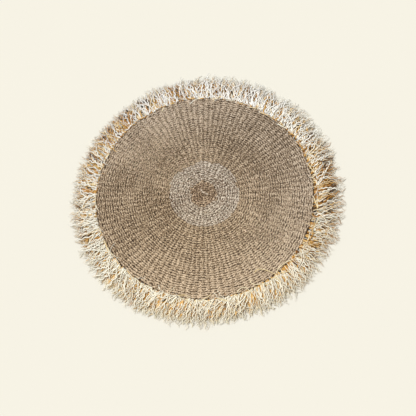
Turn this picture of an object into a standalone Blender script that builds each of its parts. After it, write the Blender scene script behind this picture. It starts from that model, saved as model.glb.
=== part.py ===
"""A round rug: a seagrass disc twined outwards from its middle, with a raffia fringe sewn round its edge.

Metres, +Z up. The origin is on the floor, under the middle of the disc. The rug lies flat.
"""

import math

import bmesh
import bpy
from mathutils import Vector

# The woven disc.
DISC_RADIUS = 0.398
VALLEY_HEIGHT = 0.0085  # up to the valleys between the radial ribs
RIB_RISE = 0.0025
RIM_ROUNDING = 0.003

# The radial ribs. Each rib splits in two twice on its way out, so that their pitch stays even.
INNER_RIBS = 26
OUTER_RIBS = 4 * INNER_RIBS
FIRST_SPLIT_RADIUS = 0.085
SECOND_SPLIT_RADIUS = 0.195
SPLIT_STAGGER = 0.030  # how far a rib's own second split may lie from that radius
SPLIT_LENGTH = 0.030  # over which the new valley opens
PLAIN_CORE_RADIUS = 0.016  # the coiled start of the weave, which has no ribs
RIB_START_LENGTH = 0.020
POINTS_PER_OUTER_RIB = 2
TOP_RING_RADII = (0.016, 0.045, 0.075, 0.105, 0.150, 0.180, 0.210, 0.245, 0.320, 0.385)

# The fringe's heading, a strip sewn to the disc's edge.
SEWING_GAP = 0.0003
HEADING_WIDTH = 0.006
HEADING_HEIGHT = 0.0110
LAYER_SPLIT_HEIGHT = 0.0052  # the upper locks spring from above this, the lower ones from below

# The fringe's locks, which lie on the floor in two layers, the upper over the gaps of the lower.
LOCKS_PER_LAYER = 150
FRINGE_REACH = 0.0935  # from the heading to the tips, on average
UPPER_REACH_SHARE = 0.94
# The fringe is longer towards one side, and its tips are uneven all round.
LONG_SIDE_ANGLE = math.radians(-20)
LONG_SIDE_EXTRA = 0.005
CLUMP_UNEVENNESS = 0.0040
LOCK_UNEVENNESS = 0.0035
# Neighbouring locks sweep sideways together, in broad waves and in narrower ones.
BROAD_SWEEP = 0.012
NARROW_SWEEP = 0.003

# One row for each section of a lock: share of the reach, width, underside's and top's height.
LOWER_LOCK = (
    {"share": 0.40, "width": 0.0125, "under": 0.0, "top": 0.0048},
    {"share": 0.72, "width": 0.0076, "under": 0.0, "top": 0.0042},
    {"share": 1.00, "width": 0.0045, "under": 0.0, "top": 0.0018},
)
UPPER_LOCK = (
    {"share": 0.35, "width": 0.0125, "under": 0.0056, "top": 0.0122},
    {"share": 0.72, "width": 0.0076, "under": 0.0050, "top": 0.0100},
    {"share": 1.00, "width": 0.0045, "under": 0.0, "top": 0.0030},
)

SEAGRASS = (0.345, 0.254, 0.167)
RAFFIA = (0.62, 0.54, 0.38)


def clear_scene():
    for obj in list(bpy.data.objects):
        bpy.data.objects.remove(obj)


def material(name, colour, roughness):
    made = bpy.data.materials.new(name)
    made.use_nodes = True
    shader = made.node_tree.nodes["Principled BSDF"]
    shader.inputs["Base Color"].default_value = (*colour, 1.0)
    shader.inputs["Roughness"].default_value = roughness
    shader.inputs["Metallic"].default_value = 0.0
    return made


def add_object(name, bm, finish):
    """Makes the bmesh a named object, with its faces pointing out."""
    bmesh.ops.recalc_face_normals(bm, faces=bm.faces)
    mesh = bpy.data.meshes.new(name)
    bm.to_mesh(mesh)
    bm.free()
    mesh.materials.append(finish)
    obj = bpy.data.objects.new(name, mesh)
    bpy.context.scene.collection.objects.link(obj)
    return obj


def spin_profile(points, steps, closed):
    """A bmesh turned once round Z from (radius, height) points. Points on the axis become one."""
    bm = bmesh.new()
    verts = [bm.verts.new((radius, 0.0, height)) for radius, height in points]
    ends = verts[1:] + verts[:1] if closed else verts[1:]
    edges = [bm.edges.new(pair) for pair in zip(verts, ends)]
    bmesh.ops.spin(
        bm,
        geom=verts + edges,
        cent=(0, 0, 0),
        axis=(0, 0, 1),
        angle=math.tau,
        steps=steps,
        use_merge=True,
    )
    bmesh.ops.remove_doubles(bm, verts=bm.verts, dist=1e-5)
    return bm


def smooth_step(low, high, value):
    share = min(1.0, max(0.0, (value - low) / (high - low)))
    return share * share * (3 - 2 * share)


def rib_profile(count, angle):
    """0 in the valleys and 1 on the crests of that many ribs."""
    return abs(math.sin(count * angle / 2))


def second_split_radius(angle):
    """Where the rib at this angle splits for the second time: a different radius for each rib."""
    rib = math.floor(2 * INNER_RIBS * angle / math.tau + 1e-6)
    return SECOND_SPLIT_RADIUS + SPLIT_STAGGER * math.sin(2.4 * rib)


def rib_height(radius, angle):
    """How far the ribs stand over the valleys at a point of the disc's top."""
    first = smooth_step(FIRST_SPLIT_RADIUS, FIRST_SPLIT_RADIUS + SPLIT_LENGTH, radius)
    start = second_split_radius(angle)
    second = smooth_step(start, start + SPLIT_LENGTH, radius)
    inner, middle, outer = (rib_profile(n * INNER_RIBS, angle) for n in (1, 2, 4))
    shape = (1 - first) * inner + first * ((1 - second) * middle + second * outer)
    grown = smooth_step(PLAIN_CORE_RADIUS, PLAIN_CORE_RADIUS + RIB_START_LENGTH, radius)
    return RIB_RISE * (grown * shape + (1 - grown))


def build_disc(finish):
    """The twined disc, one piece, flat below and ribbed above."""
    top = [(0.0, VALLEY_HEIGHT)] + [(radius, VALLEY_HEIGHT) for radius in TOP_RING_RADII]
    rim = [
        (DISC_RADIUS, VALLEY_HEIGHT - RIM_ROUNDING),
        (DISC_RADIUS, RIM_ROUNDING),
        (DISC_RADIUS - RIM_ROUNDING, 0.0),
        (0.0, 0.0),
    ]
    bm = spin_profile(top + rim, OUTER_RIBS * POINTS_PER_OUTER_RIB, closed=False)
    for vert in bm.verts:
        if vert.co.z > VALLEY_HEIGHT - RIM_ROUNDING / 2:
            angle = math.atan2(vert.co.y, vert.co.x) % math.tau
            vert.co.z += rib_height(vert.co.xy.length, angle)
    disc = add_object("woven_disc", bm, finish)
    disc.data.shade_smooth()
    disc.data.set_sharp_from_angle(angle=math.radians(50))
    return disc


def fringe_reach(angle, column):
    """How far the lock in this column reaches past the heading."""
    long_side = LONG_SIDE_EXTRA * math.cos(angle - LONG_SIDE_ANGLE)
    clump = CLUMP_UNEVENNESS * math.sin(23 * angle + 1.3 * math.sin(5 * angle))
    own = LOCK_UNEVENNESS * math.sin(2.4 * column)
    return FRINGE_REACH + long_side + clump + own


def sweep(angle, distance):
    """How far sideways every lock has gone at this distance from the heading."""
    broad = BROAD_SWEEP * math.sin(5 * angle + 0.8)
    narrow = NARROW_SWEEP * math.sin(17 * angle + 2.1)
    return (broad + narrow) * (distance / FRINGE_REACH) ** 1.5


def place_section(face, angle, reach, section):
    """Moves a lock's newest face, four points, to that section of the lock."""
    outwards = Vector((math.cos(angle), math.sin(angle), 0.0))
    sideways = Vector((-math.sin(angle), math.cos(angle), 0.0))
    distance = reach * section["share"]
    middle = outwards * (DISC_RADIUS + SEWING_GAP + HEADING_WIDTH + distance)
    middle += sideways * sweep(angle, distance)
    middle_height = sum(vert.co.z for vert in face.verts) / 4
    for vert in face.verts:
        side = 1 if vert.co.dot(sideways) > 0 else -1
        height = section["top"] if vert.co.z > middle_height else section["under"]
        vert.co = middle + sideways * side * section["width"] / 2 + Vector((0, 0, height))


def grow_locks(bm, roots, sections, reach_share):
    """Extrudes every root face outwards into a lock, one section at a time."""
    for root in roots:
        centre = root.calc_center_median()
        angle = math.atan2(centre.y, centre.x) % math.tau
        column = math.floor(angle / math.tau * 2 * LOCKS_PER_LAYER)
        reach = fringe_reach(angle, column) * reach_share
        front = root
        for section in sections:
            front = bmesh.ops.extrude_discrete_faces(bm, faces=[front])["faces"][0]
            place_section(front, angle, reach, section)


def is_lock_root(face, column_parity, above_split):
    """Whether this is a face of the heading's outer wall, in an even or an odd column, above or below the split."""
    centre = face.calc_center_median()
    outer_radius = DISC_RADIUS + SEWING_GAP + HEADING_WIDTH
    on_outer_wall = abs(face.normal.z) < 0.5 and centre.xy.length > outer_radius - 0.001
    column = math.floor(math.atan2(centre.y, centre.x) % math.tau / math.tau * 2 * LOCKS_PER_LAYER)
    above = centre.z > LAYER_SPLIT_HEIGHT
    return on_outer_wall and column % 2 == column_parity and above == above_split


def build_fringe(finish):
    """The heading strip and both layers of locks, in one piece."""
    inner = DISC_RADIUS + SEWING_GAP
    outer = inner + HEADING_WIDTH
    section = [
        (inner, 0.0),
        (outer, 0.0),
        (outer, LAYER_SPLIT_HEIGHT),
        (outer, HEADING_HEIGHT),
        (inner, HEADING_HEIGHT),
    ]
    bm = spin_profile(section, 2 * LOCKS_PER_LAYER, closed=True)
    bmesh.ops.recalc_face_normals(bm, faces=bm.faces)
    lower_roots = [face for face in bm.faces if is_lock_root(face, 0, False)]
    upper_roots = [face for face in bm.faces if is_lock_root(face, 1, True)]
    grow_locks(bm, lower_roots, LOWER_LOCK, 1.0)
    grow_locks(bm, upper_roots, UPPER_LOCK, UPPER_REACH_SHARE)
    return add_object("raffia_fringe", bm, finish)


def main():
    clear_scene()
    build_disc(material("seagrass", SEAGRASS, 0.85))
    build_fringe(material("raffia", RAFFIA, 0.7))


main()
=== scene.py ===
"""The looks of a round seagrass rug with a raffia fringe, lying flat and seen from above its near edge.

The weave is twined cord along one spiral from the middle to the rim. Its stitches rise over the radial ribs.
The fringe is thousands of loose raffia strips in layers, most of which start in bunches at the disc's edge.
"""

import math

import bmesh
import bpy
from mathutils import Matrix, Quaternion, Vector


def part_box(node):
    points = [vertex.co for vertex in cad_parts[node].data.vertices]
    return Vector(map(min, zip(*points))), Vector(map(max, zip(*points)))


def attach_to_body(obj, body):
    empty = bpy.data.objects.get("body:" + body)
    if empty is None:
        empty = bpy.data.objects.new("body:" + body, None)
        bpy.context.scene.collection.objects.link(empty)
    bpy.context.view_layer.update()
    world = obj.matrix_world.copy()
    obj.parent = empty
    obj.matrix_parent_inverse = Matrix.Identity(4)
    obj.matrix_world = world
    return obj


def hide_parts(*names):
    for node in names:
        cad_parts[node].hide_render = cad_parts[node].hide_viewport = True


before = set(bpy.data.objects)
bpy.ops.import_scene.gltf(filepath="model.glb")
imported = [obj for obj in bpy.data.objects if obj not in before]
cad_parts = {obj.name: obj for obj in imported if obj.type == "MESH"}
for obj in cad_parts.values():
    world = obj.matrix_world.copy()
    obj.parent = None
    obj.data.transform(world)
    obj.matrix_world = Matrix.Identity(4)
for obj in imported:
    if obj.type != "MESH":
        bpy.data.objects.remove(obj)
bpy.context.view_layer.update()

DISC_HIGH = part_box("woven_disc")[1]
FRINGE_LOW, FRINGE_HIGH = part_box("raffia_fringe")

# Sizes taken from the frame, in metres.
DISC_RADIUS = DISC_HIGH.x
DISC_TOP = DISC_HIGH.z
FRINGE_RADIUS = (FRINGE_HIGH.x - FRINGE_LOW.x + FRINGE_HIGH.y - FRINGE_LOW.y) / 4
FULL_REACH = FRINGE_RADIUS - DISC_RADIUS

# The weave: rows along a spiral, and the radial ribs that they cross, which split in two three times.
ROW_PITCH = 0.0083
WEAVE_RADIUS = DISC_RADIUS - 0.003
WEAVE_START_RADIUS = 0.004
INNER_RIBS = 26  # between the core's split and the first one: the core has half as many
OUTER_RIBS = 4 * INNER_RIBS
CORE_SPLIT_RADIUS = 0.044
FIRST_SPLIT_RADIUS = 0.088
SECOND_SPLIT_RADIUS = 0.200
SPLIT_STAGGER = 0.034  # how far a rib's second split may lie from that radius
CORE_RADIUS = 0.049
PALE_RING_RADIUS = 0.127
FIELD_INNER_JOIN = 0.225
FIELD_OUTER_JOIN = 0.315
PLY_TURNS = 1.1  # turns of a cord's two plies round each other in half a stitch

# The photograph's view of the disc, in its 416 pixels, and the camera that gives it.
PHOTO_SIZE = 416
DISC_RADIUS_PX = 110.2
DISC_CENTRE_PX = (204.05, 193.7)
ELEVATION = math.radians(66.5)
ROLL = math.radians(-7.7)
CAMERA_DISTANCE = 7.5 * DISC_RADIUS
SENSOR_WIDTH = 36.0


class Wire:
    """An output in a node tree, or the bare tree. Operators add Math nodes, and node() adds any other."""

    def __init__(self, tree, socket=None):
        self.tree = tree
        self.socket = socket

    def node(self, kind, inputs=None, out=0, stops=None, **settings):
        """Adds a node: its settings, then its inputs by name or number. Returns the wire of one output."""
        made = self.tree.nodes.new(kind)
        for name, value in settings.items():
            setattr(made, name, value)
        if stops:
            ramp = made.color_ramp.elements
            while len(ramp) < len(stops):
                ramp.new(1.0)
            for element, (place, colour) in zip(ramp, stops):
                element.position = place
                element.color = (*colour, 1.0)
        for key, value in (inputs or {}).items():
            if isinstance(value, Wire):
                self.tree.links.new(value.socket, made.inputs[key])
            else:
                made.inputs[key].default_value = value
        return Wire(self.tree, made.outputs[out])

    def also(self, out):
        """Another output of the same node."""
        return Wire(self.tree, self.socket.node.outputs[out])

    def math(self, operation, *values):
        return self.node("ShaderNodeMath", dict(enumerate(values)), operation=operation)

    def __add__(self, other):
        return self.math("ADD", self, other)

    def __radd__(self, other):
        return self.math("ADD", other, self)

    def __sub__(self, other):
        return self.math("SUBTRACT", self, other)

    def __rsub__(self, other):
        return self.math("SUBTRACT", other, self)

    def __mul__(self, other):
        return self.math("MULTIPLY", self, other)

    def __rmul__(self, other):
        return self.math("MULTIPLY", other, self)

    def __truediv__(self, other):
        return self.math("DIVIDE", self, other)

    def __pow__(self, other):
        return self.math("POWER", self, other)

    def __mod__(self, other):
        return self.math("FLOORED_MODULO", self, other)

    def __floordiv__(self, other):
        return self.math("FLOOR", self.math("DIVIDE", self, other))

    def __gt__(self, other):
        return self.math("GREATER_THAN", self, other)

    def __lt__(self, other):
        return self.math("LESS_THAN", self, other)

    def __abs__(self):
        return self.math("ABSOLUTE", self)

    def at_least(self, low):
        return self.math("MAXIMUM", self, low)

    def at_most(self, high):
        return self.math("MINIMUM", self, high)

    def sin(self):
        return self.math("SINE", self)

    def cos(self):
        return self.math("COSINE", self)

    def kept(self, name):
        """In a material: a number that the geometry keeps on its points."""
        return self.node("ShaderNodeAttribute", out="Fac", attribute_name=name)

    def point(self, x, y, z):
        """A vector of three numbers or wires."""
        return self.node("ShaderNodeCombineXYZ", {"X": x, "Y": y, "Z": z})

    def noise(self, place, scale, detail=2.0, **settings):
        inputs = {"Vector": place, "Scale": scale, "Detail": detail}
        return self.node("ShaderNodeTexNoise", inputs, **settings)


# Trees: geometry is grown into plain meshes, and materials are made of nodes.


class Growth:
    """A geometry tree with named number inputs, ending in real geometry with one material."""

    def __init__(self, name, sizes):
        self.tree = bpy.data.node_groups.new(name, "GeometryNodeTree")
        self.tree.interface.new_socket("Geometry", in_out="OUTPUT", socket_type="NodeSocketGeometry")
        self.sizes = sizes
        for size in sizes:
            self.tree.interface.new_socket(size, in_out="INPUT", socket_type="NodeSocketFloat")
        self.wire = Wire(self.tree)
        self.inputs = self.tree.nodes.new("NodeGroupInput")

    def size(self, name):
        return Wire(self.tree, self.inputs.outputs[name])

    def store(self, geometry, name, value):
        """Keeps a number on the geometry's points, for later nodes and for the material."""
        inputs = {"Geometry": geometry, "Name": name, "Value": value}
        return self.wire.node("GeometryNodeStoreNamedAttribute", inputs, data_type="FLOAT", domain="POINT")

    def stored(self, name):
        return self.wire.node("GeometryNodeInputNamedAttribute", {"Name": name}, data_type="FLOAT")

    def chance(self, low, high, owner, seed):
        """A random number from low to high for each owner, the same every time. Each use has its own seed."""
        inputs = {"Min": low, "Max": high, "ID": owner, "Seed": seed}
        return self.wire.node("FunctionNodeRandomValue", inputs, data_type="FLOAT", out=1)

    def grow(self, geometry, finish, smooth=True):
        """Ends the tree, sets its inputs and returns what it makes as a plain mesh object."""
        real = self.wire.node("GeometryNodeRealizeInstances", {"Geometry": geometry})
        worn = self.wire.node("GeometryNodeSetMaterial", {"Geometry": real, "Material": finish})
        output = self.tree.nodes.new("NodeGroupOutput")
        self.tree.links.new(worn.socket, output.inputs["Geometry"])
        start = bpy.data.objects.new(self.tree.name + "_start", bpy.data.meshes.new("start"))
        bpy.context.scene.collection.objects.link(start)
        modifier = start.modifiers.new("growth", "NODES")
        modifier.node_group = self.tree
        for item in self.tree.interface.items_tree:
            if item.in_out == "INPUT":
                modifier[item.identifier] = float(self.sizes[item.name])
        evaluated = start.evaluated_get(bpy.context.evaluated_depsgraph_get())
        mesh = bpy.data.meshes.new_from_object(evaluated)
        grown = bpy.data.objects.new(self.tree.name, mesh)
        bpy.context.scene.collection.objects.link(grown)
        start.modifiers.remove(modifier)
        bpy.data.objects.remove(start)
        if smooth:
            mesh.shade_smooth()
        return grown


def material(name):
    """A new material with a Principled shader. Returns it, a wire to start from, and the shader node."""
    made = bpy.data.materials.new(name)
    made.use_nodes = True
    tree = made.node_tree
    return made, Wire(tree), tree.nodes["Principled BSDF"]


def attach(wire, shader, **inputs):
    """Links or sets the shader's inputs; an underscore in a name stands for a space."""
    for name, value in inputs.items():
        socket = shader.inputs[name.replace("_", " ")]
        if isinstance(value, Wire):
            wire.tree.links.new(value.socket, socket)
        else:
            socket.default_value = value


def blend_colours(wire, first, second, share, kind="MIX"):
    """Blends two colours. A Mix node's sockets share their names, so its colour ones go by number."""
    inputs = {0: share, 6: first, 7: second}
    return wire.node("ShaderNodeMix", inputs, out=2, data_type="RGBA", blend_type=kind)


# What varies slowly round the rug: each table is a sum of broad waves, with the angle of one crest of each.
# A wave with the count 0 is a steady part.

LEAN_WAVES = (
    {"count": 0, "amount": math.radians(3), "crest": 0},
    {"count": 1, "amount": math.radians(12), "crest": 47},
    {"count": 2, "amount": math.radians(14), "crest": 18},
    {"count": 3, "amount": math.radians(9), "crest": -27},
)
REACH_WAVES = (
    {"count": 1, "amount": 0.0030, "crest": 30},
    {"count": 2, "amount": 0.0044, "crest": 49},
    {"count": 3, "amount": 0.0021, "crest": 68},
)
ROOT_WAVES = (
    {"count": 1, "amount": 0.0070, "crest": -20},
    {"count": 2, "amount": 0.0030, "crest": -6},
    {"count": 3, "amount": 0.0020, "crest": -28},
)
# Tone by side: partly the strips' own, partly painted light for how the light falls on the fringe.
FRINGE_TONE_AND_LIGHT_WAVES = (
    {"count": 1, "amount": 0.70, "crest": -97},
    {"count": 2, "amount": 0.50, "crest": 74},
    {"count": 3, "amount": 0.18, "crest": 42},
)
# Painted light: how bright the weave looks on each side under the light.
WEAVE_LIGHT_WAVES = (
    {"count": 1, "amount": 0.070, "crest": -87},
    {"count": 2, "amount": 0.128, "crest": -80},
    {"count": 3, "amount": 0.055, "crest": -6},
)


def waves(angle, table):
    """The sum of the table's waves at that angle."""
    total = 0.0
    for row in table:
        total = ((angle - math.radians(row["crest"])) * row["count"]).cos() * row["amount"] + total
    return total


# Materials.

# The weave's change of tone towards the rim is nothing at the first radius, and its painted light by side has
# its amounts at the second.
TONE_MIDDLE_RADIUS = 0.25
LIGHT_WAVES_RADIUS = 0.26
WEAVE_GREY_TINT = (0.93, 0.995, 1.16, 1)
RAFFIA_YELLOW_TINT = (1.0, 0.955, 0.74, 1)
RAFFIA_GREY_TIP = (0.84, 0.845, 0.81, 1)
# Painted light and shade by height: strips over the first height are painted paler, most from the second up,
# and those under the first darker.
PAINTED_LIGHT_HEIGHT = 0.009
FULL_PAINTED_LIGHT_HEIGHT = 0.013


def seagrass(name, pale, middle, dark):
    """Dry twined cord: two plies wound round each other, each with its own tone, streaked, with painted shade
    between.
    """
    made, wire, shader = material(name)
    place = wire.node("ShaderNodeTexCoord", out="Object")
    along, tone = wire.kept("along"), wire.kept("tone")
    ring_x, ring_y = wire.kept("ring x"), wire.kept("ring y")
    grain = wire.noise(place, 420.0, 3.0)
    flecks = wire.noise(place, 300.0, 0.5)
    patches = wire.noise(place, 9.0, 0.0)

    # The cord's own axes turn with its plies: ply is 1 and -1 on the crests of the two and 0 between them.
    winding = (along * PLY_TURNS + tone * 3.0) * math.tau
    ply = ring_x * winding.cos() + ring_y * winding.sin()
    across = ring_y * winding.cos() - ring_x * winding.sin()
    streaks = wire.noise(wire.point(ply * 2.5, across * 2.5, along * 2.5 + tone * 60.0), 1.0, 3.0)
    # Painted shade: in the groove between the plies, on the cord's flanks and underside, down in the valleys
    # at the stitch ends, and in small dark pits.
    groove = (1 - abs(ply)) ** 2
    own_ply = ply * ((tone * 7.0) % 1 - 0.5)
    valley = (1 - along) ** 3
    flank_shade = 1 + ring_y
    pit_shade = (0.45 - flecks).at_least(0.0)

    # The weave is a little paler towards the rim, and lighter or darker by side as painted light.
    parts = wire.node("ShaderNodeSeparateXYZ", {"Vector": place})
    x, y = parts, parts.also("Y")
    radius = (x * x + y * y) ** 0.5
    side_tone_and_light = waves(wire.math("ARCTAN2", y, x), WEAVE_LIGHT_WAVES)
    rim_paling_and_side_light = (radius - TONE_MIDDLE_RADIUS) * 0.80 + side_tone_and_light * radius / LIGHT_WAVES_RADIUS
    shade = (
        0.69
        + (tone - 0.5) * 0.12
        + own_ply * 0.45
        + (streaks - 0.5) * 0.9
        + (grain - 0.5) * 0.5
        + (flecks - 0.5) * 3.2
        + (patches - 0.5) * 0.5
        + rim_paling_and_side_light
        # Painted shade in the ply grooves, on the flanks, down in the valleys and in the pits.
        - groove * 0.70
        - flank_shade * 0.10
        - valley * (0.06 + flank_shade * 0.30)
        - pit_shade * 3.0
    )
    colour = wire.node(
        "ShaderNodeValToRGB", {"Fac": shade}, stops=[(0.0, dark), (0.38, middle), (1.0, pale)]
    )
    # Greyer and bluer towards the rim, the right and the far side, warmer on the near side.
    grey_tint_share = 0.5 + (radius - TONE_MIDDLE_RADIUS) * 1.6 + x * 0.6 + y * 1.05
    colour = blend_colours(wire, colour, WEAVE_GREY_TINT, grey_tint_share, "MULTIPLY")
    relief = (1 - groove) * 0.7 + streaks * 0.3
    bump = wire.node("ShaderNodeBump", {"Height": relief, "Distance": 0.0012, "Strength": 0.7})
    attach(wire, shader, Base_Color=colour, Roughness=0.9 - streaks * 0.15, Normal=bump)
    return made


def seagrass_ground():
    """The backs of the cords between the stitches, darkened on top as painted shade in the holes, and the
    underside: rows and ribs pressed into it.
    """
    made, wire, shader = material("seagrass_ground")
    place = wire.node("ShaderNodeTexCoord", out="Object")
    parts = wire.node("ShaderNodeSeparateXYZ", {"Vector": place})
    x, y = parts, parts.also("Y")
    radius = (x * x + y * y) ** 0.5
    turn = wire.math("ARCTAN2", y, x) / math.tau
    rows = ((radius / ROW_PITCH + turn) * math.tau).cos() * 0.5 + 0.5
    ribs = (turn * OUTER_RIBS * math.tau).cos() * 0.5 + 0.5
    fibres = wire.noise(place, 700.0, 3.0)
    shade = rows * 0.35 + ribs * 0.25 + fibres * 0.4
    # Painted shade: the top, seen in the holes between the stitches, is made much darker.
    painted_shade_on_top = parts.also("Z") > 0.001
    colour = wire.node(
        "ShaderNodeValToRGB",
        {"Fac": shade - painted_shade_on_top * 0.42},
        stops=[(0.0, (0.05, 0.03, 0.016)), (0.55, (0.24, 0.165, 0.10)), (1.0, (0.42, 0.31, 0.20))],
    )
    bump = wire.node("ShaderNodeBump", {"Height": shade, "Distance": 0.003, "Strength": 0.8})
    attach(wire, shader, Base_Color=colour, Roughness=0.9, Normal=bump)
    return made


def raffia(name, stops, edge_shade, golden_edge_shade=0.0, height_light=0.0, palest=1.0, tip_lightening=0.3):
    """Dry folded raffia, each strip with its own tone, and with painted light and shade by height: paler high
    up, darker low down.
    """
    made, wire, shader = material(name)
    place = wire.node("ShaderNodeTexCoord", out="Object")
    along, tone, ridge = wire.kept("along"), wire.kept("tone"), wire.kept("ridge")
    patches = wire.noise(place, 14.0, 2.0)
    blotches = wire.noise(place, 160.0, 2.0)
    streaks = wire.noise(place, 1200.0, 2.0)
    parts = wire.node("ShaderNodeSeparateXYZ", {"Vector": place})
    height = parts.also("Z")
    near_side = 0.45 - parts.also("Y") * 0.55 / FRINGE_RADIUS
    # Painted shade on the fold's lower edges, golden, and stronger towards the near side.
    edge = (1 - ridge) ** 1.4 * (near_side * near_side * golden_edge_shade + edge_shade)
    # Painted light and shade: paler where a strip lies high, darker where it lies low among the others.
    high = (height.at_most(FULL_PAINTED_LIGHT_HEIGHT) - PAINTED_LIGHT_HEIGHT) * height_light
    shade = tone + 0.08 + (patches - 0.5) * 0.55 + (blotches - 0.5) * 0.5 + high
    # Capped at the palest tone, paler towards the tips, less the painted edge shade.
    shade = shade.at_most(palest) + along**4 * tip_lightening - edge
    colour = wire.node("ShaderNodeValToRGB", {"Fac": shade}, stops=stops)
    # Yellower towards the near side, and more so on the fold's flanks than its ridge, as painted warm shade.
    colour = blend_colours(wire, colour, RAFFIA_YELLOW_TINT, near_side * (1.35 - ridge), "MULTIPLY")
    colour = blend_colours(wire, colour, RAFFIA_GREY_TIP, along**5 * (1 - near_side * 0.85))
    bump = wire.node("ShaderNodeBump", {"Height": streaks, "Distance": 0.0006, "Strength": 0.5})
    attach(wire, shader, Base_Color=colour, Roughness=0.62 + streaks * 0.15, Normal=bump)
    return made


def floor_finish():
    made, wire, shader = material("cream_floor")
    place = wire.node("ShaderNodeTexCoord", out="Object")
    cloud = wire.noise(place, 1.5, 1.0)
    colour = blend_colours(wire, (0.741, 0.724, 0.648, 1), (0.749, 0.732, 0.656, 1), cloud)
    attach(wire, shader, Base_Color=colour, Roughness=0.9)
    shader.inputs["Specular IOR Level"].default_value = 0.1
    return made


# The weave.

STITCH_SIZES = {
    "Row Pitch": ROW_PITCH,
    "Columns": 2 * OUTER_RIBS,
    "Core Split": CORE_SPLIT_RADIUS,
    "First Split": FIRST_SPLIT_RADIUS,
    "Second Split": SECOND_SPLIT_RADIUS,
    "Split Stagger": SPLIT_STAGGER,
    "Stitch Height": DISC_TOP - 0.0036,
    "Arch": 0.0016,
    "Rib Slope": 0.07,
    "Cord Width": 0.0088,
    "Cord Depth": 0.0060,
    "Stitch Share": 1.10,
    "Slant": 0.16,
    "Looseness": 1.0,
    "Rib Wander": 0.05,
    "Row Wander": 0.012,
    "Border Wander": 0.030,
    "Seed": 5,
}
STITCH_POINTS = 7
CORD_SIDES = 6
ZONE_MARGIN = 0.015  # rows made past a zone's radii, for its uneven borders
GROUND_DEPTH = 0.0050  # from the ribs' crests down to the sheet under the stitches
# The start cord's three control points: x, y and how far each lies below the cord's height.
START_CORD_PATH = ((-0.012, 0.021, 0.003), (-0.003, 0.003, -0.001), (0.012, -0.004, 0.003))


def stitch_shape(growth):
    """Half a stitch along X, a unit long: a cord that rises out of a valley up to its rib's crest."""
    wire = growth.wire
    line = wire.node("GeometryNodeCurvePrimitiveLine", {"Start": (-0.5, 0, 0), "End": (0.5, 0, 0)})
    line = wire.node("GeometryNodeResampleCurve", {"Curve": line, "Count": STITCH_POINTS})
    share = wire.node("GeometryNodeSplineParameter", out="Factor")
    line = growth.store(line, "along", share)
    arch = (share * math.pi / 2).sin()
    lift = wire.point(0.0, 0.0, arch * growth.size("Arch"))
    line = wire.node("GeometryNodeSetPosition", {"Geometry": line, "Offset": lift})
    girth = 0.60 + 0.40 * arch  # thinner in the valley
    return cord_round(growth, line, girth)


def cord_round(growth, line, girth):
    """A cord of the tree's width and depth round that line, with its own axes kept on it."""
    wire = growth.wire
    ring = wire.node("GeometryNodeCurvePrimitiveCircle", {"Resolution": CORD_SIDES, "Radius": 1.0})
    turn = wire.node("GeometryNodeInputIndex") / CORD_SIDES * math.tau
    ring = growth.store(ring, "ring x", turn.cos())
    ring = growth.store(ring, "ring y", turn.sin())
    width, depth = growth.size("Cord Width") / 2, growth.size("Cord Depth") / 2
    ring = wire.node("GeometryNodeTransform", {"Geometry": ring, "Scale": wire.point(width, depth, 1.0)})
    line = wire.node("GeometryNodeSetCurveNormal", {"Curve": line}, mode="Z_UP")
    inputs = {"Curve": line, "Profile Curve": ring, "Scale": girth, "Fill Caps": True}
    return wire.node("GeometryNodeCurveToMesh", inputs)


def rib_angle(growth, turn, radius):
    """The angle of the valley beside a rib at this radius: the valleys wander a little on their way out."""
    wire = growth.wire
    angle = turn * math.tau
    place = wire.point(angle.cos() * 11.0, angle.sin() * 11.0, radius * 24.0)
    return angle + growth.size("Rib Wander") * (wire.noise(place, 1.0, 1.0) - 0.5)


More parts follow.
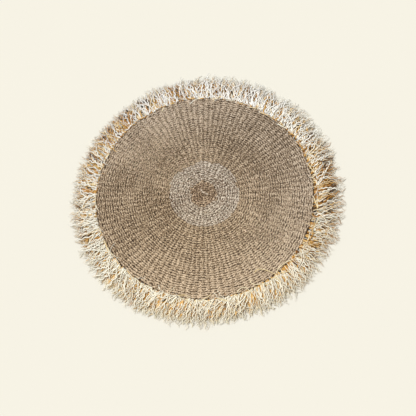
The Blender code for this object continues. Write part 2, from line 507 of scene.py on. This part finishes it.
def twined_rows(name, inner_radius, outer_radius, finish):
    """The stitches from one radius to another, as one piece, with uneven borders."""
    growth = Growth(name, {**STITCH_SIZES, "Inner Radius": inner_radius, "Outer Radius": outer_radius})
    wire = growth.wire
    size = growth.size
    chance = growth.chance
    pitch, columns = size("Row Pitch"), size("Columns")
    first_row = ((size("Inner Radius") - ZONE_MARGIN) // pitch).at_least(0.0)
    row_count = (size("Outer Radius") + ZONE_MARGIN) // pitch - first_row + 1
    points = wire.node("GeometryNodePoints", {"Count": row_count * columns})
    index = wire.node("GeometryNodeInputIndex")
    column = index % columns
    row = first_row + index // columns

    # Half a stitch covers eight, four, two or one of the outermost columns, by how far out it is.
    radius = (row + column / columns) * pitch
    own_split = size("Second Split") + size("Split Stagger") * chance(-1.0, 1.0, column // 4, size("Seed"))
    places = (
        8
        - 4 * (radius > size("Core Split"))
        - 2 * (radius > size("First Split"))
        - (radius > own_split)
    )
    points = growth.store(points, "row", row)
    points = growth.store(points, "column", column)
    points = growth.store(points, "places", places)
    points = growth.store(points, "unused", (column % places) > 0.5)
    points = wire.node(
        "GeometryNodeDeleteGeometry",
        {"Geometry": points, "Selection": growth.stored("unused")},
        domain="POINT",
    )

    # The spiral's radius and each stitch's own small errors.
    row, column, places = growth.stored("row"), growth.stored("column"), growth.stored("places")
    own = row * columns + column
    radius = (row + (column + places / 2) / columns) * pitch
    start = rib_angle(growth, column / columns, radius)
    end = rib_angle(growth, (column + places) / columns, radius)
    angle = (start + end) / 2
    loose = size("Looseness")
    around = wire.point(angle.cos() * 13.0, angle.sin() * 13.0, radius * 18.0)
    wander = size("Row Wander") * (wire.noise(around, 1.0, 1.0) - 0.5)
    off_row = wander + loose * chance(-0.0009, 0.0009, own, 11)
    reach = radius + off_row * (radius / 0.05).at_most(1.0)
    height = size("Stitch Height") + loose * chance(-0.0004, 0.0004, own, 13)
    centre = wire.point(angle.cos() * reach, angle.sin() * reach, height)
    points = growth.store(points, "tone", chance(0.0, 1.0, own, 14))
    points = growth.store(points, "half", (column / places) % 2)
    points = growth.store(points, "zone radius", radius + border_wander(growth, angle, radius))
    points = growth.store(points, "angle", angle)
    points = growth.store(points, "length", (end - start) * radius * size("Stitch Share"))
    points = growth.store(points, "own", own)
    points = wire.node("GeometryNodeSetPosition", {"Geometry": points, "Position": centre})
    own = growth.stored("own")
    lean = size("Slant") + loose * chance(-0.18, 0.18, own, 15)
    heading = growth.stored("angle") + math.pi / 2 + lean + growth.stored("half") * math.pi
    turned = wire.point(0.0, -1 * size("Rib Slope"), heading)
    inputs = {
        "Points": points,
        "Instance": stitch_shape(growth),
        "Rotation": wire.node("FunctionNodeEulerToRotation", {"Euler": turned}),
        "Scale": wire.point(growth.stored("length"), 1 + loose * chance(-0.10, 0.08, own, 16), 1.0),
    }
    stitches = wire.node("GeometryNodeInstanceOnPoints", inputs)
    kept = wire.node(
        "GeometryNodeDeleteGeometry",
        {"Geometry": stitches, "Selection": out_of_zone(growth)},
        domain="INSTANCE",
    )
    return growth.grow(kept, finish)


def start_cord(finish):
    """The pale end of the first cord, tucked over the middle of the weave."""
    sizes = {"Cord Width": 0.0085, "Cord Depth": 0.0060, "Height": DISC_TOP + 0.0020}
    growth = Growth("start_cord", sizes)
    wire = growth.wire
    height = growth.size("Height")
    start, middle, end = (wire.point(x, y, height - dip) for x, y, dip in START_CORD_PATH)
    inputs = {"Resolution": 12, "Start": start, "Middle": middle, "End": end}
    line = wire.node("GeometryNodeCurveQuadraticBezier", inputs)
    line = growth.store(line, "along", 1.0)
    line = growth.store(line, "tone", wire.node("GeometryNodeSplineParameter", out="Factor") * 0.9)
    return growth.grow(cord_round(growth, line, 1.0), finish)


def border_wander(growth, angle, radius):
    """How far a zone's border strays there: the same for both zones beside it, and nothing at the rim."""
    place = growth.wire.point(angle.cos() * 2.5, angle.sin() * 2.5, 0.7)
    stray = growth.wire.noise(place, 1.0, 2.0) - 0.5
    return growth.size("Border Wander") * stray * (1 - radius / WEAVE_RADIUS)


def out_of_zone(growth):
    """1 on the stitches that lie outside the piece's radii."""
    radius = growth.stored("zone radius")
    return (radius < growth.size("Inner Radius")) + (radius > growth.size("Outer Radius")) > 0.5


def build_ground(finish):
    """The sheet under the stitches: the hidden body of the weave, closed and flat below."""
    top, edge = DISC_TOP - GROUND_DEPTH, WEAVE_RADIUS
    bm = bmesh.new()
    verts = [bm.verts.new(place) for place in ((0, 0, top), (edge, 0, top), (edge, 0, 0), (0, 0, 0))]
    edges = [bm.edges.new(pair) for pair in zip(verts, verts[1:])]
    steps = 2 * OUTER_RIBS
    bmesh.ops.spin(bm, geom=verts + edges, axis=(0, 0, 1), cent=(0, 0, 0), angle=math.tau, steps=steps)
    bmesh.ops.remove_doubles(bm, verts=bm.verts, dist=1e-5)
    bmesh.ops.recalc_face_normals(bm, faces=bm.faces)
    mesh = bpy.data.meshes.new("weave_ground")
    bm.to_mesh(mesh)
    bm.free()
    mesh.materials.append(finish)
    ground = bpy.data.objects.new("weave_ground", mesh)
    bpy.context.scene.collection.objects.link(ground)
    return ground


# The fringe.

FOLD_CORNERS = 3
FOLD_RADIUS_SHARE = 0.55  # of a strip's width: a ring with three corners is then about as wide as the strip
# How much more the stray strips lean and curl than the others.
STRAY_LEAN = 0.7
STRAY_CURL = 1.6
# Steps between the layers' identities, so that no two layers share their random numbers.
STRIP_IDENTITIES = 10000
BUNCH_IDENTITIES = 1000
NEARLY_STRAIGHT = 0.0001  # keeps the arc's division off zero


def raffia_strips(name, finish, sizes):
    """One layer of loose strips, in bunches that set off outwards from their roots, as one piece."""
    growth = Growth(name, sizes)
    wire = growth.wire
    size = growth.size
    chance = growth.chance
    steps, strips, bunches = size("Points per Strip"), size("Strips"), size("Bunches")
    seed = size("Seed")
    points = wire.node("GeometryNodePoints", {"Count": steps * strips})
    index = wire.node("GeometryNodeInputIndex")
    strip = index // steps
    share = (index % steps) / (steps - 1)
    bunch = strip * bunches / strips // 1
    own = strip + seed * STRIP_IDENTITIES
    shared = bunch + seed * BUNCH_IDENTITIES

    # Each bunch sets off in its own direction, and each strip in it a little to one side of that.
    start = (bunch + 0.5 + chance(-0.3, 0.3, shared, 1)) / bunches * math.tau
    stray = chance(0.0, 1.0, own, 2) < size("Stray Share")
    lean = (
        waves(start, LEAN_WAVES)
        + size("Side Lean")
        + size("Bunch Lean") * chance(-1.0, 1.0, shared, 3)
        + (size("Strip Lean") + stray * STRAY_LEAN) * chance(-1.0, 1.0, own, 4)
    )
    curl = (
        size("Bunch Curl") * chance(-1.0, 1.0, shared, 5)
        + (size("Curl") + stray * STRAY_CURL) * chance(-1.0, 1.0, own, 6)
    )
    own_share = (
        chance(size("Shortest Share"), 1.0, own, 7)
        + size("Bunch Unevenness") * chance(-1.0, 1.0, shared, 8)
    )
    reach = size("Reach") * own_share + size("Uneven Reach") * waves(start, REACH_WAVES)
    gone = reach * share

    # An arc of that length: its chord turns by half of what the strip has curled.
    half = curl * share / 2 + NEARLY_STRAIGHT
    chord = gone * half.sin() / half
    side = size("Bunch Width") * chance(-1.0, 1.0, own, 9)
    swing = share * size("Wave Turns") * math.tau * chance(0.7, 1.3, own, 19)
    swing = swing + chance(0.0, math.tau, own, 10)
    wave = size("Wave") * swing.sin() * (0.3 + 0.7 * share)
    edge = wire.noise(wire.point(start.cos() * 4.0, start.sin() * 4.0, 3.7), 1.0, 2.0) - 0.5
    root = (
        size("Root Radius")
        + size("Root Wander") * edge
        + size("Root Spread") * chance(-1.0, 1.0, own, 11)
        + size("Uneven Root") * waves(start, ROOT_WAVES)
    )
    outwards = root + chord * (lean + half).cos()
    sideways = side * (1 - size("Gather") * share) + chord * (lean + half).sin() + wave
    bottom = size("Tip Height") * chance(0.05, 1.0, own, 12)
    lift = size("Root Height") * chance(0.6, 1.0, own, 13)
    hump = size("Hump") * chance(0.1, 1.0, own, 14)
    height = lift * (1 - share) ** 1.5 + bottom * share + hump * (share * math.pi).sin()
    place = wire.point(
        outwards * start.cos() - sideways * start.sin(),
        outwards * start.sin() + sideways * start.cos(),
        height + size("Strip Width") * 0.3,
    )
    points = growth.store(points, "strip", strip)
    points = growth.store(points, "along", share)
    # Tone by side: partly the strips' own, partly painted light.
    side_tone_and_light = size("Side Tone And Light") * waves(start, FRINGE_TONE_AND_LIGHT_WAVES)
    shared_tone = size("Bunch Tone") * chance(-1.0, 1.0, shared, 20)
    points = growth.store(points, "tone", chance(0.0, 1.0, own, 15) + shared_tone + side_tone_and_light)
    points = wire.node("GeometryNodeSetPosition", {"Geometry": points, "Position": place})
    group = growth.stored("strip")
    curves = wire.node("GeometryNodePointsToCurves", {"Points": points, "Curve Group ID": group})
    curves = wire.node("GeometryNodeSetCurveNormal", {"Curve": curves}, mode="Z_UP")
    owner = group + seed * STRIP_IDENTITIES
    along = growth.stored("along")
    twist = size("Twist") * (chance(-0.6, 0.6, owner, 16) + along * chance(-2.2, 2.2, owner, 17))
    curves = wire.node("GeometryNodeSetCurveTilt", {"Curve": curves, "Tilt": twist})
    taper = 1.0 - size("Taper") * along**3
    girth = taper * chance(0.55, 1.2, owner, 18)
    return growth.grow(folded_strip(growth, curves, girth), finish, smooth=False)


def folded_strip(growth, curves, girth):
    """Strips of the tree's width along those curves, folded lengthwise into a low ridge."""
    wire = growth.wire
    ring = wire.node("GeometryNodeCurvePrimitiveCircle", {"Resolution": FOLD_CORNERS, "Radius": 1.0})
    corner = wire.node("GeometryNodeInputIndex")
    turn = corner / FOLD_CORNERS * math.tau - math.pi / 2
    radius = growth.size("Strip Width") * FOLD_RADIUS_SHARE
    fold = wire.point(turn.cos() * radius, turn.sin() * radius * growth.size("Strip Flatness"), 0.0)
    ring = growth.store(ring, "ridge", corner < 0.5)
    ring = wire.node("GeometryNodeSetPosition", {"Geometry": ring, "Position": fold})
    inputs = {"Curve": curves, "Profile Curve": ring, "Scale": girth, "Fill Caps": True}
    return wire.node("GeometryNodeCurveToMesh", inputs)


# Single pale strips that catch the eye, which lie bent over the weave's near edge.
STRAY_PATHS = (
    {"start": (0.136, -0.322), "bend": (0.151, -0.290), "end": (0.222, -0.349), "tone": 0.55},
    {"start": (0.209, -0.334), "bend": (0.229, -0.296), "end": (0.297, -0.288), "tone": 0.80},
    {"start": (0.117, -0.343), "bend": (0.115, -0.382), "end": (0.205, -0.352), "tone": 0.70},
    {"start": (0.066, -0.384), "bend": (0.092, -0.350), "end": (0.114, -0.388), "tone": 0.90},
    {"start": (-0.096, -0.396), "bend": (-0.045, -0.396), "end": (-0.022, -0.376), "tone": 0.60},
)
STRAY_SIZES = {"Strip Width": 0.0034, "Strip Flatness": 0.5, "Height": DISC_TOP - 0.0004, "Arch": 0.006}

# Single dark brown strips, among the fringe's top ones on the right.
DARK_PATHS = (
    {"start": (0.442, 0.067), "bend": (0.459, 0.075), "end": (0.482, 0.070), "tone": 0.05},
    {"start": (0.423, 0.035), "bend": (0.440, 0.041), "end": (0.478, 0.044), "tone": 0.12},
    {"start": (0.434, 0.092), "bend": (0.444, 0.096), "end": (0.456, 0.094), "tone": 0.00},
    {"start": (0.438, -0.044), "bend": (0.455, -0.038), "end": (0.474, -0.037), "tone": 0.02},
    {"start": (0.445, -0.058), "bend": (0.458, -0.052), "end": (0.473, -0.051), "tone": 0.00},
    {"start": (0.400, -0.102), "bend": (0.425, -0.080), "end": (0.448, -0.075), "tone": 0.16},
    {"start": (0.364, 0.189), "bend": (0.376, 0.196), "end": (0.390, 0.197), "tone": 0.25},
)
DARK_SIZES = {"Strip Width": 0.0050, "Strip Flatness": 0.5, "Height": DISC_TOP + 0.0012, "Arch": 0.004}


def single_strips(name, finish, paths, sizes):
    """One strip along each path, highest at its bend."""
    growth = Growth(name, sizes)
    wire = growth.wire
    low, high = growth.size("Height"), growth.size("Height") + growth.size("Arch")
    joined = wire.node("GeometryNodeJoinGeometry")
    for path in paths:
        inputs = {
            "Resolution": 14,
            "Start": wire.point(*path["start"], low),
            "Middle": wire.point(*path["bend"], high),
            "End": wire.point(*path["end"], low),
        }
        line = wire.node("GeometryNodeCurveQuadraticBezier", inputs)
        line = growth.store(line, "along", 0.0)
        line = growth.store(line, "tone", path["tone"])
        wire.tree.links.new(line.socket, joined.socket.node.inputs[0])
    curves = wire.node("GeometryNodeSetCurveNormal", {"Curve": joined}, mode="Z_UP")
    return growth.grow(folded_strip(growth, curves, 1.0), finish, smooth=False)


# Each layer's sizes start from those of the lowest one, golden strips on the floor.
STRIP_LAYER = {
    "Strips": 1900,
    "Points per Strip": 7,
    "Bunches": 150,
    "Bunch Width": 0.0050,
    "Bunch Lean": 0.22,
    "Bunch Curl": 0.45,
    "Bunch Unevenness": 0.05,
    "Bunch Tone": 0.12,
    "Side Lean": 0.0,
    "Gather": 0.3,
    "Stray Share": 0.12,
    "Root Radius": DISC_RADIUS - 0.002,
    "Root Wander": 0.008,
    "Root Spread": 0.003,
    "Reach": FULL_REACH * 0.88,
    "Shortest Share": 0.76,
    "Uneven Reach": 1.0,
    "Uneven Root": 0.0,
    "Strip Lean": 0.16,
    "Curl": 0.7,
    "Wave": 0.003,
    "Wave Turns": 1.3,
    "Root Height": 0.0100,
    "Tip Height": 0.004,
    "Hump": 0.004,
    "Strip Width": 0.0050,
    "Strip Flatness": 0.30,
    "Taper": 0.6,
    "Twist": 0.6,
    "Side Tone And Light": 0.40,
    "Seed": 1,
}

# Wavy strips of mixed tones over the lowest ones.
MIDDLE_LAYER = {
    **STRIP_LAYER,
    "Strips": 330,
    "Points per Strip": 14,
    "Reach": FULL_REACH,
    "Shortest Share": 0.75,
    "Wave": 0.0034,
    "Wave Turns": 3.4,
    "Root Height": 0.012,
    "Tip Height": 0.006,
    "Hump": 0.006,
    "Bunches": 131,
    "Strip Width": 0.0042,
    "Seed": 2,
}

# The white strips, which show most.
TOP_LAYER = {
    **STRIP_LAYER,
    "Strips": 880,
    "Points per Strip": 22,
    "Root Radius": DISC_RADIUS + 0.0015,
    "Root Spread": 0.004,
    "Uneven Root": 1.0,
    "Reach": FULL_REACH,
    "Shortest Share": 0.80,
    "Wave": 0.0036,
    "Wave Turns": 4.5,
    "Strip Lean": 0.34,
    "Root Height": 0.013,
    "Tip Height": 0.009,
    "Hump": 0.009,
    "Bunches": 190,
    "Bunch Width": 0.0065,
    "Gather": 0.35,
    "Curl": 1.2,
    "Bunch Lean": 0.12,
    "Bunch Curl": 0.35,
    "Strip Width": 0.0043,
    "Strip Flatness": 0.22,
    "Twist": 0.3,
    "Taper": 0.65,
    "Side Tone And Light": 0.85,
    "Seed": 3,
}

# Thin wisps, many of them out of line.
WISP_LAYER = {
    **STRIP_LAYER,
    "Strips": 340,
    "Points per Strip": 12,
    "Bunches": 340,
    "Reach": FULL_REACH * 1.02,
    "Strip Lean": 0.5,
    "Curl": 1.5,
    "Stray Share": 0.4,
    "Root Height": 0.012,
    "Tip Height": 0.010,
    "Hump": 0.012,
    "Strip Width": 0.0021,
    "Strip Flatness": 0.6,
    "Seed": 4,
}

# Short golden strips, which show between the white ones.
SHORT_LAYER = {
    **STRIP_LAYER,
    "Strips": 350,
    "Points per Strip": 6,
    "Bunches": 350,
    "Bunch Width": 0.0,
    "Root Radius": DISC_RADIUS + 0.030,
    "Root Spread": 0.028,
    "Reach": 0.022,
    "Shortest Share": 0.5,
    "Uneven Reach": 0.0,
    "Strip Lean": 0.35,
    "Wave": 0.001,
    "Root Height": 0.0150,
    "Tip Height": 0.013,
    "Hump": 0.004,
    "Strip Width": 0.0046,
    "Twist": 0.2,
    "Side Tone And Light": 0.85,
    "Seed": 7,
}

# Short white strips at the disc's edge, which lean far to either side.
EDGE_LAYER = {
    **STRIP_LAYER,
    "Strips": 290,
    "Points per Strip": 8,
    "Bunches": 190,
    "Root Radius": DISC_RADIUS + 0.0010,
    "Root Spread": 0.003,
    "Uneven Root": 1.0,
    "Reach": 0.040,
    "Shortest Share": 0.55,
    "Uneven Reach": 0.0,
    "Bunch Lean": 1.1,
    "Strip Lean": 0.3,
    "Curl": 0.8,
    "Bunch Curl": 1.0,
    "Root Height": 0.0165,
    "Tip Height": 0.016,
    "Hump": 0.002,
    "Strip Width": 0.0040,
    "Taper": 0.3,
    "Twist": 0.3,
    "Seed": 5,
}

# Strips of mixed tones that lie along the disc's edge.
RIM_LAYER = {
    **EDGE_LAYER,
    "Strips": 100,
    "Points per Strip": 9,
    "Bunches": 50,
    "Side Lean": 1.40,
    "Root Radius": DISC_RADIUS - 0.001,
    "Root Wander": 0.008,
    "Root Spread": 0.002,
    "Reach": 0.055,
    "Bunch Lean": 0.15,
    "Strip Lean": 0.15,
    "Curl": 0.3,
    "Bunch Curl": 0.2,
    "Wave": 0.0025,
    "Wave Turns": 1.6,
    "Strip Width": 0.0042,
    "Seed": 6,
}

GOLDEN_STOPS = [
    (0.00, (0.045, 0.019, 0.007)),
    (0.18, (0.17, 0.075, 0.018)),
    (0.45, (0.50, 0.22, 0.03)),
    (0.75, (0.84, 0.49, 0.13)),
    (1.00, (0.93, 0.88, 0.76)),
]
MIXED_STOPS = [
    (0.00, (0.40, 0.18, 0.035)),
    (0.20, (0.79, 0.47, 0.12)),
    (0.45, (0.93, 0.79, 0.50)),
    (1.00, (0.97, 0.93, 0.81)),
]
WHITE_STOPS = [
    (0.00, (0.50, 0.24, 0.04)),
    (0.14, (0.88, 0.62, 0.23)),
    (0.34, (0.99, 0.97, 0.91)),
    (1.00, (0.99, 0.99, 0.98)),
]


def build_fringe():
    """The layers from the floor up, then the thin and short strips, those at the edge and the single ones."""
    golden = raffia("raffia_golden", GOLDEN_STOPS, edge_shade=0.1, palest=0.79, tip_lightening=0.40)
    mixed = raffia("raffia_mixed", MIXED_STOPS, edge_shade=0.30, golden_edge_shade=0.5, height_light=25.0)
    white = raffia(
        "raffia_white",
        WHITE_STOPS,
        edge_shade=0.12,
        golden_edge_shade=0.9,
        height_light=80.0,
        palest=0.80,
    )
    return [
        raffia_strips("fringe_low", golden, STRIP_LAYER),
        raffia_strips("fringe_middle", mixed, MIDDLE_LAYER),
        raffia_strips("fringe_top", white, TOP_LAYER),
        raffia_strips("fringe_wisps", white, WISP_LAYER),
        raffia_strips("fringe_short", golden, SHORT_LAYER),
        raffia_strips("fringe_edge", white, EDGE_LAYER),
        raffia_strips("fringe_rim", mixed, RIM_LAYER),
        single_strips("fringe_stray", mixed, STRAY_PATHS, STRAY_SIZES),
        single_strips("fringe_dark", golden, DARK_PATHS, DARK_SIZES),
    ]


# The floor, the light and the camera.

FLOOR_HALF = 12.0
FLOOR_DROP = 0.0004  # under the rug, so that no two faces lie in one plane


def build_floor():
    mesh = bpy.data.meshes.new("floor")
    half = FLOOR_HALF
    corners = [(-half, -half, 0), (half, -half, 0), (half, half, 0), (-half, half, 0)]
    mesh.from_pydata(corners, [], [(0, 1, 2, 3)])
    mesh.materials.append(floor_finish())
    floor = bpy.data.objects.new("floor", mesh)
    floor.location.z = -FLOOR_DROP
    bpy.context.scene.collection.objects.link(floor)


def build_light():
    """A wide soft sun from the upper left, and an even pale sky."""
    data = bpy.data.lights.new("soft_key", "SUN")
    data.energy = 3.0
    data.angle = math.radians(25)
    data.color = (0.954, 0.972, 1.0)
    light = bpy.data.objects.new("soft_key", data)
    light.rotation_euler = Vector((1.95, -1.15, -3.6)).to_track_quat("-Z", "Y").to_euler()
    bpy.context.scene.collection.objects.link(light)
    world = bpy.data.worlds.new("pale_studio")
    world.use_nodes = True
    background = world.node_tree.nodes["Background"]
    background.inputs["Color"].default_value = (1.0, 0.93, 0.82, 1.0)
    background.inputs["Strength"].default_value = 0.478
    bpy.context.scene.world = world
    bpy.context.scene.view_settings.view_transform = "Standard"


def build_camera():
    """Looks at the disc's middle from the photograph's height and distance, rolled a little."""
    data = bpy.data.cameras.new("camera")
    data.sensor_width = SENSOR_WIDTH
    focal_px = DISC_RADIUS_PX * CAMERA_DISTANCE / DISC_RADIUS
    data.lens = focal_px * SENSOR_WIDTH / PHOTO_SIZE
    data.shift_x = (PHOTO_SIZE / 2 - DISC_CENTRE_PX[0]) / PHOTO_SIZE
    data.shift_y = (DISC_CENTRE_PX[1] - PHOTO_SIZE / 2) / PHOTO_SIZE
    data.clip_end = 100.0
    camera = bpy.data.objects.new("camera", data)
    target = Vector((0, 0, DISC_TOP))
    back = Vector((0, -math.cos(ELEVATION), math.sin(ELEVATION)))
    camera.location = target + back * CAMERA_DISTANCE
    facing = (-back).to_track_quat("-Z", "Y") @ Quaternion((0, 0, 1), ROLL)
    camera.rotation_mode = "QUATERNION"
    camera.rotation_quaternion = facing
    bpy.context.scene.collection.objects.link(camera)
    bpy.context.scene.camera = camera


def wear(piece, node):
    """Makes the piece stand for a CAD node: it hangs under the root body, and the node is hidden."""
    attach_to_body(piece, "root")
    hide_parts(node)


def main():
    build_camera()
    build_light()
    build_floor()
    field = seagrass(
        "seagrass_field",
        pale=(0.71, 0.552, 0.372),
        middle=(0.462, 0.332, 0.196),
        dark=(0.12, 0.069, 0.030),
    )
    pale = seagrass(
        "seagrass_pale",
        pale=(0.85, 0.75, 0.605),
        middle=(0.63, 0.515, 0.38),
        dark=(0.16, 0.10, 0.055),
    )
    core = seagrass(
        "seagrass_core",
        pale=(0.75, 0.58, 0.40),
        middle=(0.492, 0.345, 0.214),
        dark=(0.12, 0.07, 0.033),
    )
    ground = build_ground(seagrass_ground())
    rows = [
        twined_rows("core_rows", WEAVE_START_RADIUS, CORE_RADIUS, core),
        twined_rows("pale_rows", CORE_RADIUS, PALE_RING_RADIUS, pale),
        twined_rows("field_rows_inner", PALE_RING_RADIUS, FIELD_INNER_JOIN, field),
        twined_rows("field_rows_middle", FIELD_INNER_JOIN, FIELD_OUTER_JOIN, field),
        twined_rows("field_rows_outer", FIELD_OUTER_JOIN, WEAVE_RADIUS, field),
        start_cord(pale),
    ]
    strips = build_fringe()
    for piece in [ground, *rows]:
        wear(piece, "woven_disc")
    for piece in strips:
        wear(piece, "raffia_fringe")


main()
